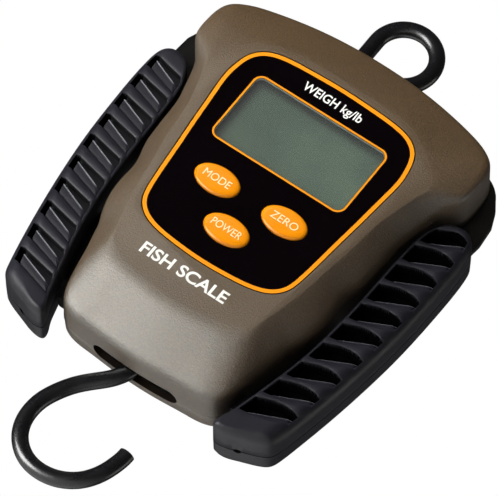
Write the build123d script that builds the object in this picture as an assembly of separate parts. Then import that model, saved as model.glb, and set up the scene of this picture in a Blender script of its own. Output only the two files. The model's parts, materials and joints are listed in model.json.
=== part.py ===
from build123d import *
import math
import os

# Hanging digital fish scale with two swing-out handles.  All sizes in mm.
# Working frame, laid on the face of the scale:
#   x to the right, y up towards the hanging eye, z out of the face,
#   z = 0 on the parting plane between the front and the rear shell.
# save() turns it into the finished frame: +Z up, the face looks along -Y and
# the origin is where the hanging eye carries the scale.

os.makedirs("parts", exist_ok=True)

SIDES = (1, -1)          # right, left


def pair(x, y):
    """A point and its mirror image, right one first."""
    return [(side * x, y) for side in SIDES]


# ------------------------------------------------------------------ dimensions
HANG_Y = 59.0            # height of the carrying point above y = 0
FACE_Z = 20.0            # plateau of the front shell
BACK_Z = -9.0            # flat back
WALL = 2.0               # shell wall
RIM_Z = 8.5              # where the front shell starts to lean in

# display and keypad
PANEL_T = 1.1            # faceplate thickness
PANEL_SEAT = 18.85       # floor of the faceplate seat
WINDOW_W, WINDOW_H, WINDOW_R, WINDOW_Y = 46.0, 24.0, 2.4, -0.4
GLASS_W, GLASS_H, GLASS_Z = 52.0, 30.0, 14.7
BUTTON_A, BUTTON_B = 7.6, 4.7                      # half axes of the oval caps
FLANGE_Z, CAP_Z, CAP_TOP = 16.1, 17.1, 20.75       # flange back, flange front, cap front
BUTTONS = {"unit": (-12.0, -24.4), "tare": (12.0, -24.4), "power": (0.0, -36.3)}
PCB_W, PCB_Z, PCB_T = 54.8, 10.4, 1.6
PCB_TOP = PCB_Z + PCB_T

# load path
WIRE_R = 2.5             # 5 mm steel wire of the eye and the hook
EYE_X, EYE_Y, EYE_R = 1.0, 51.7, 9.9
LEG_X, LEG_Y0 = EYE_X - EYE_R, 12.5                # straight leg of the eye
CLAMP_Y, CLAMP_BACK = 21.0, -4.1
HOOK_PIN_Y, HOOK_PIN_R = -68.0, 2.0
HOOK_LOOP_R = 4.65
LOAD_CELL_Y, LOAD_CELL_T = -20.0, 5.2
LOAD_CELL_Z = LOAD_CELL_T / 2                      # front of the load cell
PLATE_T, PLATE_GAP = 1.6, 0.02                     # hook side plates
PLATE_BACK = -LOAD_CELL_Z - PLATE_GAP - PLATE_T
CHASSIS_Z, CHASSIS_T = 2.6, 2.0
CHASSIS_TOP = CHASSIS_Z + CHASSIS_T
HOOK_SLOT_W, EYE_SLOT_W = 30.0, 28.0
HOOK_SLOT_T, EYE_SLOT_T = 6.6, 6.0

# handles
PIVOT_X, PIVOT_Y, PIVOT_R = 41.0, 21.5, 2.5
ARM_Z0, ARM_Z1, ARM_END_R = -2.1, -0.1, 11.8
ARM_SLOT_Z = ARM_Z0 - .3                           # floor of the arm slot in the rear shell

# battery bay: two AAA cells, each in a walled trough
BATTERY_X, BATTERY_Z, BATTERY_R = 20.6, -1.75, 5.25
BATTERY_Y0, BATTERY_Y1 = -52.0, -7.5
BAY_HALF_W, BAY_WALL = 5.8, 1.2
BAY_Y0, BAY_Y1 = BATTERY_Y0 - 5.4, BATTERY_Y1 + 1.2
DOOR_W, DOOR_Y0, DOOR_Y1, DOOR_T = 55.0, -59.0, -1.0, 1.7
DOOR_H, DOOR_Y = DOOR_Y1 - DOOR_Y0, (DOOR_Y0 + DOOR_Y1) / 2

# fixings, (x, y)
CASE_SCREWS = pair(24, 32.4) + pair(31.6, -22) + pair(20.5, -69)
PCB_SCREWS = pair(24.5, 17.8) + pair(22.5, -36.5)
CELL_SCREWS = pair(7.5, -6)
PLATE_SCREWS = pair(6.0, -37.5)
CLAMP_SCREWS = [(LEG_X + side * 5.2, CLAMP_Y) for side in SIDES]
GRIP_SCREWS = [(50.4, -6.0), (48.2, -37.0), (43.4, -65.0)]
CASE_SEAT_Z, GRIP_SEAT_Z = -6.4, -5.4              # where the screw heads bear

# -------------------------------------------------------------------- outlines
# right-hand half outlines (x, y), top centre to bottom centre
RIM = [  # rim of the body
    (0, 41.3), (10, 41.0), (20, 40.0), (29, 38.4), (36, 36.6), (41, 34.6), (44.8, 32.1),
    (47.2, 29.4), (48.5, 25.8), (48.9, 21.2), (48.8, 17.0), (48.1, 13.9), (46.6, 11.6),
    (44.9, 9.4), (43.5, 6.4), (42.5, 2.6), (41.5, -1.6), (40.7, -5.4), (40.4, -9.4), (40.3, -14),
    (40.1, -18.4), (39.8, -22), (38.8, -26), (37.9, -30.2), (38.1, -35), (38.1, -40.6),
    (37.4, -44.8), (36.0, -49), (34.6, -52.4), (33.7, -56), (32.6, -60.5), (31.5, -66.5),
    (30.5, -71.5), (29.2, -75.6), (27.1, -78.6), (23.6, -80.2), (17, -80.9), (9, -81.5),
    (0, -81.8)]
TOP = [  # edge of the plateau
    (0, 24.6), (8, 24.6), (16, 24.3), (22.5, 23.3), (27.6, 21.2), (31.0, 18.9), (33.6, 16.9),
    (35.6, 15.2), (37.2, 13.8), (38.5, 12.4), (39.2, 11.0), (39.2, 9.2), (38.7, 7.2), (37.9, 4.8),
    (37.0, 1.9), (36.0, -1.4), (35.0, -4.9), (34.2, -8.2), (33.7, -11.8), (33.3, -15.6),
    (32.8, -19.6), (32.3, -23.2), (31.6, -27.2), (31.0, -31.2), (30.4, -35.4), (29.6, -40),
    (28.8, -43.8), (27.9, -47.4), (27.2, -50.0), (26.6, -52.2), (26.2, -53.8), (25.8, -55.1),
    (25.2, -56.4), (24.2, -57.7), (22.5, -59.1), (19.6, -60.6), (14.8, -61.9), (8, -62.9),
    (0, -63.5)]
# height at which the front starts to lean in, for the same points: the shoulders are higher
LIFT = [
    8.5, 8.5, 8.6, 8.8, 9.4, 10.6, 12.0, 13.2, 14.0, 14.6, 15.0, 14.8, 13.4, 11.6, 10.4, 9.8,
    9.6, 9.5, 9.5, 9.5, 9.5, 9.5, 9.4, 9.3, 9.3, 9.3, 9.2, 9.1, 9.0, 9.0, 8.9, 8.8, 8.7, 8.6,
    8.5, 8.5, 8.5, 8.5, 8.5]
# how far the flat slope above the hook replaces the rounded lean of the sides, same points
SLOPE = [0] * 32 + [.25, .7, .95, 1, 1, 1, 1]
# (height, share of the way from rim to plateau on the sides, the same on the slope)
LEAN = [(RIM_Z, 0.0, 0.0), (10.8, 0.05, 0.05), (13.2, 0.19, 0.2), (16.7, 0.54, 0.6),
        (19.2, 0.86, 0.93), (FACE_Z, 1.0, 1.0)]
# (height, share of the way from rim to plateau)
BACK_LEAN = [(0.0, 0.0), (-5.5, 0.01), (-8.0, 0.06), (BACK_Z, 0.17)]
BACK_ROOM_LEAN = [(1.0, 0.0), (-4.5, 0.01), (-6.4, 0.04), (-7.0, 0.08)]

PANEL = [  # half outline of the faceplate
    (0, 22.3), (12, 21.9), (20.6, 21.1), (26.0, 19.3), (29.4, 16.0), (31.1, 10.9), (31.6, 6.6),
    (31.3, 1), (30.8, -4), (30.0, -12.4), (29.0, -21.4), (28.1, -30.5), (27.3, -36.8),
    (26.0, -41.8), (23.0, -45.3), (17.6, -47.6), (10, -48.7), (0, -49.2)]

# closed outlines (x, y) of the right-hand handle
GRIP = [
    (52.4, 9.5), (55.0, 8.6), (56.8, 6.6), (57.7, 3.0), (58.0, -4), (57.8, -14), (57.0, -29),
    (55.4, -43), (53.0, -58), (50.6, -70), (49.0, -76.6), (47.6, -79.8), (44.8, -81.7),
    (38.2, -84.1), (32.8, -85.4), (30.7, -84.8), (30.7, -82.4), (32.0, -79.4), (33.4, -75),
    (35.3, -68), (37.3, -60), (38.8, -53), (40.0, -45), (40.8, -37), (41.4, -29), (41.7, -20),
    (41.9, -14), (42.3, -7), (43.0, 0), (44.0, 3.2), (45.4, 5.9), (47.2, 7.9), (49.6, 9.1)]
# edge of the grip's front: hardly any rounding on the case side, a broad flank outside
GRIP_TOP = [
    (52.0, 8.0), (53.1, 7.2), (53.6, 5.2), (53.8, 2.0), (53.8, -4), (53.5, -14), (52.6, -29),
    (51.0, -43), (48.7, -58), (46.6, -69), (45.6, -74.4), (44.6, -76.8), (42.4, -78.3),
    (37.2, -80.6), (33.9, -81.8), (32.6, -81.6), (32.4, -80.6), (33.2, -78.8), (34.4, -74.6),
    (36.3, -67.8), (38.3, -59.8), (39.8, -52.8), (41.0, -44.9), (41.8, -37), (42.4, -29),
    (42.7, -20), (42.9, -14), (43.3, -7), (44.0, -.4), (45.0, 2.6), (46.2, 4.9), (48.0, 6.6),
    (50.0, 7.7)]
# (height, share of the way from GRIP to GRIP_TOP)
GRIP_FRONT_LEAN = [(0.0, 0.0), (5.4, 0.03), (8.4, 0.24), (9.8, 0.6), (10.5, 1.0)]
GRIP_BACK_LEAN = [(0.0, 0.0), (-5.6, 0.03), (-8.0, 0.25), (-9.0, 0.75)]
ARM = [
    (41.0, 9.75), (46.4, 9.9), (48.0, 5.5), (47.0, -8), (46.0, -29), (44.2, -45), (41.8, -60),
    (39.4, -71), (45.0, -73), (47.4, -62), (50.4, -45), (52.2, -29), (53.4, -14), (54.2, -2),
    (55.0, 6), (55.8, 12.5), (55.2, 19.5), (53.1, 24.6), (50.0, 29.2), (46.0, 32.1), (41.0, 33.25)]
FLANGE = [
    (41.2, -42), (38.9, -43.5), (37.3, -48.5), (35.7, -53), (34.5, -58), (33.6, -62),
    (33.0, -66.8), (37.0, -67.2), (40.4, -52), (42.0, -42)]
REST_PAD = [(28.2, -74.9), (32.0, -74.9), (33.0, -74.2), (34.4, -69.9), (34.2, -69.1),
            (28.2, -69.1)]

# height of the inner top corner of each finger pocket
POCKETS = [4.6, -3.5, -11.8, -20.1, -28.4, -36.8, -45.3, -53.9, -62.4, -70.8]
# pocket outline: (share of its width from the case side, height above that corner);
# square on the case side, slanting up to a narrow outer end
POCKET_SHAPE = [(0.0, 0.0), (.18, 1.0), (.38, 2.0), (.6, 2.5), (.86, 2.4), (1.0, 2.0),
                (1.0, -1.4), (.63, -3.9), (.24, -5.5), (.03, -5.8)]
# edges of the grip that bound the pockets (x, y), bottom to top
POCKET_INNER = [
    (32.0, -79.4), (33.4, -75), (35.3, -68), (37.3, -60), (38.8, -53), (40.0, -45), (40.8, -37),
    (41.4, -29), (41.7, -20), (41.9, -14), (42.3, -7), (43.0, 0), (44.0, 3.4), (45.6, 6.3)]
POCKET_OUTER = [
    (49.0, -76.6), (50.6, -70), (53.0, -58), (55.4, -43), (57.0, -29), (57.8, -14), (58.0, -4),
    (57.8, 3.4), (57.0, 7.3)]

# centre line of the hook (x, y), from the loop round the pin to the tip
HOOK_LINE = [
    (0.0, HOOK_PIN_Y - HOOK_LOOP_R - .01), (-.45, -75.6), (-.95, -78.6), (-1.7, -81.2),
    (-2.9, -83.8), (-4.6, -86.3), (-7.0, -88.9), (-9.6, -91.6), (-11.9, -94.4), (-13.8, -97.4),
    (-15.3, -100.4), (-16.5, -103.8), (-17.0, -107.4), (-16.5, -112.2), (-14.9, -115.9),
    (-12.4, -118.8), (-9.2, -120.9), (-5.6, -122.0), (-1.8, -122.1), (2.0, -121.3), (5.5, -119.6),
    (8.6, -117.0), (11.0, -113.6), (12.6, -109.8), (13.5, -106.2), (13.8, -103.2)]

# --------------------------------------------------------------------- colours
OLIVE, BLACK, ORANGE = Color(.40, .36, .30), Color(.03, .03, .035), Color(.98, .58, .06)
STEEL, DARK, ALU = Color(.42, .42, .43), Color(.10, .10, .11), Color(.72, .73, .75)
GREEN, BRASS, RED = Color(.05, .30, .16), Color(.75, .60, .30), Color(.80, .12, .10)
WINDOW_GREY, GLASS_GREY = Color(.55, .6, .55), Color(.36, .42, .36)
OFF_WHITE, PINK, TAN = Color(.85, .85, .82), Color(.75, .45, .5), Color(.70, .62, .45)
CHIP_BLACK, SWITCH_BLACK = Color(.05, .05, .05), Color(.15, .15, .16)
FOIL, BATTERY_GOLD = Color(.80, .62, .25), Color(.78, .62, .35)


# --------------------------------------------------------------------- helpers
def both_halves(values):
    """Values round the closed outline from those of the right-hand half."""
    return values + values[-2:0:-1]


def mirror_outline(half):
    """Closed outline from a right-hand half outline."""
    return half + [(-x, y) for x, y in half[-2:0:-1]]


BODY_RIM, BODY_TOP = mirror_outline(RIM), mirror_outline(TOP)
BODY_LIFT, BODY_SLOPE = both_halves(LIFT), both_halves(SLOPE)
PANEL_EDGE = mirror_outline(PANEL)


def on_side(points, side):
    return [(side * x, y) for x, y in points]


def inset(points, distance):
    """Closed outline moved inwards along the local normals."""
    count = len(points)
    following = points[1:] + points[:1]
    area = sum(x0 * y1 - x1 * y0 for (x0, y0), (x1, y1) in zip(points, following))
    sign = 1 if area > 0 else -1
    moved = []
    for i, (x, y) in enumerate(points):
        (x0, y0), (x1, y1) = points[i - 1], points[(i + 1) % count]
        along_x, along_y = x1 - x0, y1 - y0
        length = math.hypot(along_x, along_y)
        moved.append((x - sign * along_y / length * distance,
                      y + sign * along_x / length * distance))
    return moved


def stack(rim, top, levels, inset_by=0.0, lift=None):
    """Solid lofted through outlines blended from rim to top.

    A level is (height, share) or (height, share, share on the body's slope);
    lift raises the lean line point by point.
    """
    wires = []
    for z, share, *slope_share in levels:
        if slope_share:
            shares = [share + (slope_share[0] - share) * weight for weight in BODY_SLOPE]
        else:
            shares = [share] * len(rim)
        points = [(r[0] + (t[0] - r[0]) * q, r[1] + (t[1] - r[1]) * q)
                  for r, t, q in zip(rim, top, shares)]
        if inset_by:
            points = inset(points, inset_by)
        if lift is None:
            heights = [z] * len(points)
        elif z > RIM_Z:
            heights = [low + (FACE_Z - low) * (z - RIM_Z) / (FACE_Z - RIM_Z) for low in lift]
        else:
            heights = [z * low / RIM_Z for low in lift]
        curve = Spline([(x, y, h) for (x, y), h in zip(points, heights)], periodic=True)
        wires.append(Wire(curve.edges()))
    return Solid.make_loft(wires, True)


def smooth_slab(points, z, thickness):
    """Slab bounded by a closed smooth curve through the points."""
    edge = Spline([(x, y, 0.0) for x, y in points], periodic=True)
    return Pos(0, 0, z) * extrude(make_face(edge.edges()), thickness)


def rounded_slab(width, height, radius, y, z, thickness):
    return Pos(0, y, z) * extrude(RectangleRounded(width, height, radius), thickness)


def box(x0, x1, y0, y1, z0, z1):
    """Box between two corners; x0 and x1 may come in either order."""
    centre = Pos((x0 + x1) / 2, (y0 + y1) / 2, (z0 + z1) / 2)
    return centre * Box(abs(x1 - x0), y1 - y0, z1 - z0)


def rod(x, y, z0, z1, radius):
    return Pos(x, y, (z0 + z1) / 2) * Cylinder(radius, z1 - z0)


def rod_along_y(x, y, z, radius, length):
    return Pos(x, y, z) * (Rotation(90, 0, 0) * Cylinder(radius, length))


def prism(points, z0, z1):
    return Pos(0, 0, z0) * extrude(make_face(Polyline(points, close=True).edges()), z1 - z0)


def oval(x, y, margin, z0, z1):
    """Button shape grown by a margin."""
    return Pos(x, y, z0) * extrude(Ellipse(BUTTON_A + margin, BUTTON_B + margin), z1 - z0)


def wire_along(path, radius):
    return sweep(Plane(path @ 0, z_dir=path % 0) * Circle(radius), path=path)


def drill(part, points, radius, z0=-20, z1=30):
    """Holes at the points, right through unless heights are given."""
    for x, y in points:
        part -= rod(x, y, z0, z1, radius)
    return part


def largest(shape):
    return shape.solids().sort_by(SortBy.VOLUME)[-1]


def screws(points, z_head, z_tip, head_r, head_h, shank_r):
    """Pan-head screws driven from the back; the heads lie below z_head."""
    made = []
    for x, y in points:
        body = rod(x, y, z_head - head_h, z_head, head_r)
        rim_edge = body.edges().filter_by(GeomType.CIRCLE).sort_by(Axis.Z)[:1]
        body = fillet(rim_edge, min(head_r, head_h) * 0.45)
        body += rod(x, y, z_head, z_tip, shank_r)
        reach, half_width = head_r * .55, .35
        z0, z1 = z_head - head_h - 1, z_head - head_h * .45
        cross = box(x - reach, x + reach, y - half_width, y + half_width, z0, z1)
        cross += box(x - half_width, x + half_width, y - reach, y + reach, z0, z1)
        made.append(body - cross)
    return made


def save(name, parts, colour):
    """Move a shape or a list of shapes to the finished frame and write its STEP file."""
    shapes = parts if isinstance(parts, (list, tuple)) else [parts]
    moved = [Rotation(90, 0, 0) * (Pos(0, -HANG_Y, 0) * solid)
             for shape in shapes for solid in shape.solids()]
    whole = moved[0] if len(moved) == 1 else Compound(children=moved)
    whole.label = name
    whole.color = colour
    export_step(whole, f"parts/{name}.step")


# ---------------------------------------------------------------------- shells
def wire_slots():
    """Slots on the parting plane for the hook and the eye."""
    slots = []
    for x, y, width, thickness, reach in ((0, -80, HOOK_SLOT_W, HOOK_SLOT_T, 14),
                                          (EYE_X - 0.6, 42, EYE_SLOT_W, EYE_SLOT_T, 9)):
        cutter = extrude(SlotOverall(width, thickness), reach, both=True)
        slots.append(Pos(x, y, 0) * (Rotation(90, 0, 0) * cutter))
    return slots


def pad_recess(side):
    return box(side * 28.0, side * 34.0, -75.0, -69.0, -3.0, 3.0)


def front_shell():
    body = stack(BODY_RIM, BODY_TOP, [(0.0, -0.02)] + LEAN, lift=BODY_LIFT)
    room_lean = [(z - (2.6 if z > RIM_Z else 0.8), share) for z, share, _ in LEAN]
    shell = body - stack(BODY_RIM, BODY_TOP, [(-1.0, -0.02)] + room_lean, inset_by=WALL)
    # faceplate seat with a fine groove round it
    shell -= smooth_slab(inset(PANEL_EDGE, -0.3), PANEL_SEAT, 5)
    # display and button openings
    shell -= rounded_slab(WINDOW_W + 3, WINDOW_H + 3, 2, WINDOW_Y, 0, 30)
    for x, y in BUTTONS.values():
        shell -= oval(x, y, .25, 10, 30)
    # bosses for the case screws and the board screws
    for x, y in CASE_SCREWS:
        shell += rod(x, y, 0, 15.2 if abs(y) < 40 else 13.4, 3.3) & body
        shell -= rod(x, y, -1, 7.6, 1.35)
    for x, y in PCB_SCREWS:
        shell += rod(x, y, PCB_TOP, 18.0, 2.6)
        shell -= rod(x, y, PCB_Z, 16.4, 1.0)
    for slot in wire_slots():
        shell -= slot
    # pivot seats and pad recesses
    for side in SIDES:
        shell += rod(side * PIVOT_X, PIVOT_Y, 4.7, 12.0, 4.2) & body
        shell -= rod(side * PIVOT_X, PIVOT_Y, 0, 8.2, PIVOT_R + .04)
        shell -= pad_recess(side)
    return largest(shell)


def rear_shell():
    body = stack(BODY_RIM, BODY_TOP, BACK_LEAN)
    shell = body - stack(BODY_RIM, BODY_TOP, BACK_ROOM_LEAN, inset_by=WALL)
    for x, y in CASE_SCREWS:
        shell += rod(x, y, -8.0, 0, 3.3) & body
        shell -= rod(x, y, -20, CASE_SEAT_Z, 2.9)
        shell -= rod(x, y, -20, 1, 1.6)
    # walls of the battery bay: two long ones, then the lower and the upper end
    for side in SIDES:
        inner, outer = side * (BATTERY_X - BAY_HALF_W), side * (BATTERY_X + BAY_HALF_W)
        wall_in, wall_out = inner - side * BAY_WALL, outer + side * BAY_WALL
        for x0, x1, y0, y1 in ((wall_in, inner, BAY_Y0 - .2, BAY_Y1 + .6),
                               (outer, wall_out, BAY_Y0 - .2, BAY_Y1 + .6),
                               (wall_in, wall_out, BAY_Y0 - 1.4, BAY_Y0),
                               (wall_in, wall_out, BAY_Y1, BAY_Y1 + BAY_WALL)):
            shell += box(x0, x1, y0, y1, -8, -0.2)
    # door seat, bay openings and the notch for the door's tab
    seat = rounded_slab(DOOR_W + .3, DOOR_H + .3, 3.1, DOOR_Y, 0, -20)
    shell -= seat & box(-60, 60, -90, 60, -20, BACK_Z + DOOR_T + .05)
    for side in SIDES:
        shell -= box(side * (BATTERY_X - BAY_HALF_W), side * (BATTERY_X + BAY_HALF_W),
                     BAY_Y0, BAY_Y1, -12, 1)
    shell -= box(-3.2, 3.2, DOOR_Y1 - 1.0, DOOR_Y1 + 1.6, -9.5, -7.9)
    for slot in wire_slots():
        shell -= slot
    for side in SIDES:
        # shoulder slot in which the arm turns, and the pivot boss
        x, outside = side * PIVOT_X, side * 62
        swing = rod(x, PIVOT_Y, ARM_SLOT_Z, 0.01, ARM_END_R + 1.3)
        swing += box(x, outside, PIVOT_Y - 15, PIVOT_Y + 18, ARM_SLOT_Z, 0.01)
        # room above the pivot for the arm's rounded shoulder at the end of its swing
        swing += box(side * (PIVOT_X - 4.5), outside, PIVOT_Y + 10, PIVOT_Y + 18, ARM_SLOT_Z, 0.01)
        shell -= swing
        shell += rod(x, PIVOT_Y, -8, ARM_SLOT_Z, 4.4) & body
        shell -= rod(x, PIVOT_Y, -7.1, 2, PIVOT_R + .04)
        shell -= pad_recess(side)
    # grip lines pressed into the back above the door
    for i in range(4):
        shell -= box(-16, 16, 8 + i * 4.2, 9.2 + i * 4.2, -9.5, -8.5)
    return largest(shell)


def battery_door():
    door = rounded_slab(DOOR_W, DOOR_H, 3.0, DOOR_Y, BACK_Z, DOOR_T - .02)
    door = chamfer(door.faces().sort_by(Axis.Z)[0].edges(), 0.4)
    # tab on the upper edge, grooves in the back below it
    door += box(-3, 3, DOOR_Y1 - 1.0, DOOR_Y1 + 1.4, -8.9, -8.0)
    for i in range(3):
        door -= box(-9, 9, DOOR_Y1 - 6 - i * 2.4, DOOR_Y1 - 5 - i * 2.4, -9.5, -8.6)
    return door


# --------------------------------------------------- faceplate, display, board
def faceplate():
    plate = smooth_slab(PANEL_EDGE, PANEL_SEAT, PANEL_T)
    plate = chamfer(plate.faces().sort_by(Axis.Z)[-1].edges(), 0.18)
    plate -= rounded_slab(WINDOW_W, WINDOW_H, WINDOW_R, WINDOW_Y, 0, 30)
    for x, y in BUTTONS.values():
        plate -= oval(x, y, .12, 10, 30)
    return plate


def display_window():
    return rounded_slab(WINDOW_W - .06, WINDOW_H - .06, WINDOW_R - .03,
                        WINDOW_Y, PANEL_SEAT + .02, PANEL_T - .12)


def glass_box(margin, z0, z1):
    """Outline of the display glass grown by a margin."""
    half_w, half_h = GLASS_W / 2 + margin, GLASS_H / 2 + margin
    return box(-half_w, half_w, WINDOW_Y - half_h, WINDOW_Y + half_h, z0, z1)


def display_holder():
    holder = glass_box(1.4, PCB_TOP + .05, 16.4)
    holder -= glass_box(.1, GLASS_Z - .05, 20)
    holder -= glass_box(-1.4, 10, 20)
    return largest(drill(holder, PCB_SCREWS, 2.8))


def contact_strips():
    middles = [WINDOW_Y + side * 12.3 for side in SIDES]
    return [box(-23, 23, y - .9, y + .9, PCB_TOP, GLASS_Z) for y in middles]


def main_board():
    board = box(-PCB_W / 2, PCB_W / 2, -43, 20.4, PCB_Z, PCB_TOP)
    board = fillet(board.edges().filter_by(Axis.Z), 2)
    return drill(board, PCB_SCREWS, 1.25)


def board_components():
    """Two cans, a column of five small blocks and one larger block on the board's back."""
    parts = [rod(-14, y, PCB_Z - 2.4, PCB_Z, 1.6) for y in (10, 2)]
    parts += [box(12, 15.2, y, y + 1.6, PCB_Z - .8, PCB_Z) for y in (-10, -6, -2, 2, 6)]
    return parts + [box(-16, -11, -16, -12.5, PCB_Z - 2.0, PCB_Z)]


def button_cap(x, y):
    cap = oval(x, y, 0, CAP_Z, CAP_TOP)
    cap = fillet(cap.faces().sort_by(Axis.Z)[-1].edges(), 0.7)
    return cap + oval(x, y, 1.0, FLANGE_Z, CAP_Z)


def key_switch(x, y):
    return box(x - 3, x + 3, y - 3, y + 3, PCB_TOP, 15.3) - rod(x, y, 12.4, 20, 1.8)


# ------------------------------------------------------------------- load path
def chassis_bar():
    bar = Pos(0, PIVOT_Y, CHASSIS_Z) * extrude(SlotOverall(2 * PIVOT_X + 8, 8), CHASSIS_T)
    bar += rounded_slab(52, 17, 3, 19, CHASSIS_Z, CHASSIS_T)
    bar += box(-11, 11, -12, 18, CHASSIS_Z, CHASSIS_TOP)
    bar = drill(bar, pair(PIVOT_X, PIVOT_Y), PIVOT_R + .03)
    bar = drill(bar, CELL_SCREWS, 1.62)
    return drill(bar, CLAMP_SCREWS, 1.32)


def hanging_eye():
    """Straight leg down to the clamp, loop closed against the leg."""
    def on_loop(degrees):
        angle = math.radians(degrees)
        return EYE_X + EYE_R * math.cos(angle), EYE_Y + EYE_R * math.sin(angle)

    arc = ThreePointArc((LEG_X, EYE_Y), on_loop(45), on_loop(-88))
    leg = Line((LEG_X, LEG_Y0), (LEG_X, EYE_Y))
    start = Plane((LEG_X, LEG_Y0, 0), x_dir=(1, 0, 0), z_dir=(0, 1, 0))
    return sweep(start * Circle(WIRE_R), path=Wire([leg, arc]))


def eye_clamp():
    groove_r = WIRE_R + .05
    clamp = box(LEG_X - 7.6, LEG_X + 7.6, CLAMP_Y - 6, CLAMP_Y + 6, CLAMP_BACK, CHASSIS_Z - .05)
    clamp -= box(LEG_X - groove_r, LEG_X + groove_r, 10, 30, -groove_r, 4)
    return drill(clamp, CLAMP_SCREWS, 1.32)


def load_cell():
    """S-shaped cell between the chassis tongue and the hook side plates."""
    cell = rounded_slab(26, 46, 1.0, LOAD_CELL_Y, -LOAD_CELL_Z, LOAD_CELL_T)
    # a slit from each side, then two joined holes in the middle
    cell -= box(-9, 20, -10.6, -9.4, -9, 9)
    cell -= box(-20, 9, -30.6, -29.4, -9, 9)
    cell -= (rod(-4.4, LOAD_CELL_Y, -9, 9, 4.2) + rod(4.4, LOAD_CELL_Y, -9, 9, 4.2)
             + box(-4, 4, LOAD_CELL_Y - 1, LOAD_CELL_Y + 1, -9, 9))
    return drill(cell, CELL_SCREWS + PLATE_SCREWS, 1.62)


def strain_gauges():
    return [box(side * 13.0, side * 13.22, -24, -16, -1.8, 1.8) for side in SIDES]


def hook_plates():
    outline = [(-9.5, -33.5), (9.5, -33.5), (9.5, -52), (5.5, -72.5), (-5.5, -72.5), (-9.5, -52)]
    plate = prism(outline, 0, PLATE_T)
    plate = fillet(plate.edges().filter_by(Axis.Z), 2.2)
    plate = drill(plate, PLATE_SCREWS, 1.62)
    plate = drill(plate, [(0, HOOK_PIN_Y)], HOOK_PIN_R + .02)
    return [Pos(0, 0, z) * plate for z in (LOAD_CELL_Z + PLATE_GAP, PLATE_BACK)]


def hook_pin():
    return rod(0, HOOK_PIN_Y, -5.4, 5.4, HOOK_PIN_R) + rod(0, HOOK_PIN_Y, 4.3, 5.6, 3.2)


def pin_clip():
    clip = rod(0, HOOK_PIN_Y, -5.2, -4.4, 3.6) - rod(0, HOOK_PIN_Y, -6, -4, HOOK_PIN_R + .01)
    return clip - box(-1.1, 1.1, HOOK_PIN_Y - 5, HOOK_PIN_Y, -6, -4)


def hook():
    """A loop round the pin, a shank out of the slot, a round open bend."""
    wire = wire_along(Spline(HOOK_LINE, tangents=[(-.08, -1), (.02, 1)]), WIRE_R)
    wire = wire + Pos(0, HOOK_PIN_Y, 0) * Torus(HOOK_LOOP_R, WIRE_R)
    return largest(wire - rod(0, HOOK_PIN_Y, -9, 9, HOOK_PIN_R + .05))


def cell_wires():
    wires = []
    for offset in (-1.5, -.5, .5, 1.5):
        path = Spline([(10.0 + offset * .9, -15.0, LOAD_CELL_Z + .42), (10.5 + offset, -16.5, 5.5),
                       (9.0 + offset, -20, 8.2), (7.5 + offset, -22.5, PCB_Z)],
                      tangents=[(0, -.1, 1), (0, 0, 1)])
        wires.append(wire_along(path, .38))
    return wires


# --------------------------------------------------------------------- handles
def arm(side):
    x = side * PIVOT_X
    plate = prism(on_side(ARM, side), ARM_Z0, ARM_Z1) + rod(x, PIVOT_Y, ARM_Z0, ARM_Z1, ARM_END_R)
    plate = drill(plate, [(x, PIVOT_Y)], PIVOT_R + .05)
    return largest(drill(plate, on_side(GRIP_SCREWS, side), 1.6))


def edge_x(edge, y):
    """x of an edge table at height y."""
    for (x0, y0), (x1, y1) in zip(edge, edge[1:]):
        if y <= y1:
            return x0 + (x1 - x0) * (y - y0) / (y1 - y0)
    return edge[-1][0]


def pocket_outline(corner_y):
    points = []
    for share, rise in POCKET_SHAPE:
        y = corner_y + rise
        inner, outer = edge_x(POCKET_INNER, y), edge_x(POCKET_OUTER, y)
        points.append((inner + 1.2 + share * (outer - inner - 3.4), y))
    return points


def grip_dimple(side):
    """Small round hole up into the lower end of the grip."""
    return rod_along_y(side * 38.6, -84.2, 0, 1.1, 4)


def grip_front(side):
    grip = stack(on_side(GRIP, side), on_side(GRIP_TOP, side), GRIP_FRONT_LEAN)
    for corner_y in POCKETS:
        grip -= prism(on_side(pocket_outline(corner_y), side), 6.0, 14)
    grip = drill(grip, on_side(GRIP_SCREWS, side), 1.15, -1, 4.6)
    return largest(grip - grip_dimple(side))


def grip_rear(side):
    grip = stack(on_side(GRIP, side), on_side(GRIP_TOP, side), GRIP_BACK_LEAN)
    # flange that closes the gap to the case when the handle is folded
    grip += prism(on_side(FLANGE, side), -7.2, -3.0)
    for x, y in on_side(GRIP_SCREWS, side):
        grip -= rod(x, y, -20, GRIP_SEAT_Z, 2.7)
        grip -= rod(x, y, -20, 1, 1.5)
    grip -= prism(inset(on_side(ARM, side), -0.14), ARM_Z0 - .02, 1)
    return largest(grip - grip_dimple(side))


def pivot_spacer(side):
    spacer = rod(side * PIVOT_X, PIVOT_Y, ARM_Z1 + .05, CHASSIS_Z - .05, 4.0)
    return drill(spacer, [(side * PIVOT_X, PIVOT_Y)], PIVOT_R + .03)


# --------------------------------------------------------------------- battery
def batteries():
    """Two cells lying along y, the right one's nub up and the left one's down."""
    cells = []
    for side, nub_y in ((1, BATTERY_Y1 - .1), (-1, BATTERY_Y0 + .1)):
        x = side * BATTERY_X
        cell = rod_along_y(x, (BATTERY_Y0 + BATTERY_Y1) / 2, BATTERY_Z,
                           BATTERY_R, BATTERY_Y1 - BATTERY_Y0 - 1)
        cell = fillet(cell.edges().filter_by(GeomType.CIRCLE), 0.5)
        cells.append(cell + rod_along_y(x, nub_y, BATTERY_Z, 1.9, .95))
    return cells


def battery_contacts():
    return [box(side * (BATTERY_X - 4), side * (BATTERY_X + 4), y, y + .4, -6.2, 2.6)
            for side in SIDES for y in (BATTERY_Y1 + .55, BATTERY_Y0 - 5.2)]


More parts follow.
